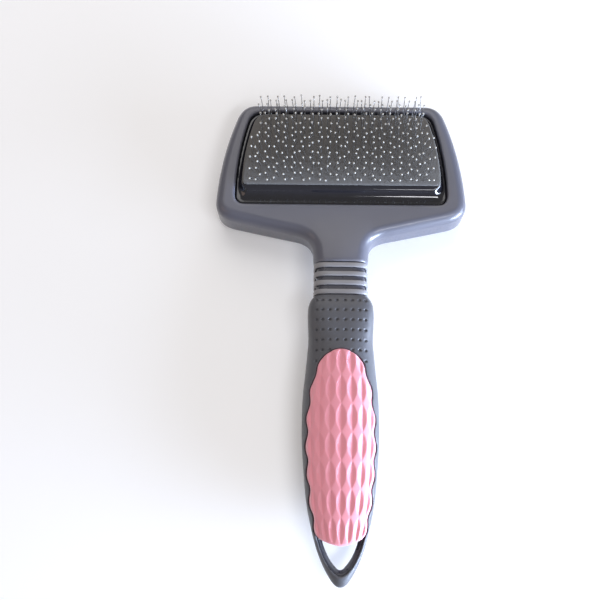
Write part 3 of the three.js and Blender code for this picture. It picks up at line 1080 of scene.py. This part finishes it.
def make_lights():
    """Two low bluish windows on the right, a soft ceiling, a strip and a weak warm fill."""
    area_light(
        "window",
        direction=(1.0, -0.6, 0.11),
        distance=0.38,
        size=(0.3, 0.06),
        power=1.3,
        color=(0.62, 0.76, 1.0),
        aim=GRIP_AIM,
        spread=90,
    )
    area_light(
        "far_window",
        direction=(1.0, -0.4, 0.24),
        distance=0.8,
        size=(0.8, 0.22),
        power=9.0,
        color=(0.68, 0.79, 1.0),
    )
    area_light(
        "ceiling",
        direction=(-0.1, 1.0, 0.95),
        distance=1.0,
        size=(0.9, 0.9),
        power=4.2,
        color=(1.0, 0.985, 0.98),
    )
    area_light(
        "strip",
        direction=(0.4, -0.5, 1.0),
        distance=0.9,
        size=(0.5, 0.12),
        power=2.2,
        color=(0.96, 0.97, 1.0),
    )
    area_light(
        "warm_side",
        direction=(-1.0, -0.2, 0.8),
        distance=1.0,
        size=(0.5, 0.5),
        power=0.7,
        color=(1.0, 0.72, 0.6),
    )
    world = bpy.data.worlds.new("studio")
    world.use_nodes = True
    background = world.node_tree.nodes["Background"]
    background.inputs["Color"].default_value = (1.0, 0.97, 0.95, 1)
    background.inputs["Strength"].default_value = 0.3
    bpy.context.scene.world = world
    bpy.context.scene.view_settings.view_transform = "Standard"


def make_floor():
    """A wide pale floor, just under the brush."""
    half = FLOOR_HALF / MM
    corners = [(-half, -half, 0), (half, -half, 0), (half, half, 0), (-half, half, 0)]
    floor = make_object("floor", corners, [(0, 1, 2, 3)])
    floor.location.z = -FLOOR_DROP
    floor.data.materials.append(floor_paper())


# ---- Building ----


def finished(piece, made, slot, *nodes):
    """Gives a piece its material and its body, and hides the CAD nodes that it stands for. The slot is
    not used.
    """
    piece.data.materials.append(made)
    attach(piece, "root")
    if nodes:
        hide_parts(*nodes)


def grid_round(node_name, step, margin=1.0, **finer):
    """Grid planes round a node's box. finer gives an axis its own planes."""
    low, high = box_mm(node_name)
    axes = [axis_points(low[k] - margin, high[k] + margin, step) for k in range(3)]
    for axis, values in finer.items():
        axes["xyz".index(axis)] = values
    return axes


def build_head():
    """The frame, and the tray, foam and foundation in its recess."""
    shell = moulded("head_frame_shell", frame_distance, grid_round("head_frame", step=0.7))
    finished(shell, head_plastic(), "head_plastic", "head_frame")
    tray_axes = grid_round("pad_tray", step=0.5, z=axis_points(8, 24, 0.4))
    tray = moulded("pad_tray_shell", tray_distance, tray_axes)
    finished(tray, tray_plastic(), "tray_plastic", "pad_tray")
    cushion = moulded("foam_cushion", cushion_distance, grid_round("pad_cushion", step=1.0))
    finished(cushion, cushion_foam(), "cushion_foam", "pad_cushion")
    sheet_axes = grid_round("pin_foundation", step=0.6, z=axis_points(19, 27.2, 0.35))
    sheet = moulded("pin_cloth", foundation_distance, sheet_axes)
    finished(sheet, foundation_cloth(), "foundation_cloth", "pin_foundation")


def build_pins():
    """The rows of staples with their tips, which stand for the CAD's combs."""
    steel, epoxy = pin_wire(), pin_tip()
    random = np.random.default_rng(7)
    for row in range(PIN_ROWS):
        number = f"{row + 1:02d}"
        wires, tips = make_pin_row(row, number, random)
        finished(wires, steel, "pin_wire", f"pin_row_{number}")
        finished(tips, epoxy, "pin_wire")


def build_handle():
    """The core, the sleeve, the thumb pad and the rings round the neck."""
    core = moulded("core_body", core_distance, grid_round("handle_core", step=0.6))
    finished(core, core_plastic(), "core_plastic", "handle_core")
    below_dimples, dimpled = axis_points(-113, -19.5, 0.6), axis_points(-19.2, 12.6, 0.27)
    above_dimples = axis_points(12.9, 15, 0.3)
    fine_y = np.concatenate([below_dimples, dimpled, above_dimples])
    sleeve_axes = grid_round("grip_sleeve", step=0.45, y=fine_y)
    sleeve = moulded("grip_sleeve_skin", sleeve_distance, sleeve_axes)
    finished(sleeve, grip_rubber(), "grip_rubber", "grip_sleeve")
    inlay = moulded("thumb_pad", inlay_distance, grid_round("grip_inlay", step=0.36, margin=1.5))
    finished(inlay, inlay_rubber(), "inlay_rubber", "grip_inlay")
    pale = ring_plastic()
    for number in range(1, RING_COUNT + 1):
        name = f"neck_ring_{number}"
        low, high = box_mm(name)
        middle, width = (low[1] + high[1]) / 2, high[1] - low[1]
        fine_y = axis_points(low[1] - 0.6, high[1] + 0.6, 0.2)
        axes = grid_round(name, step=0.4, margin=0.8, y=fine_y)
        ring = moulded(f"pale_ring_{number}", ring_distance(middle, width), axes)
        finished(ring, pale, "ring_plastic", name)


make_camera()
make_lights()
make_floor()
build_head()
build_pins()
build_handle()
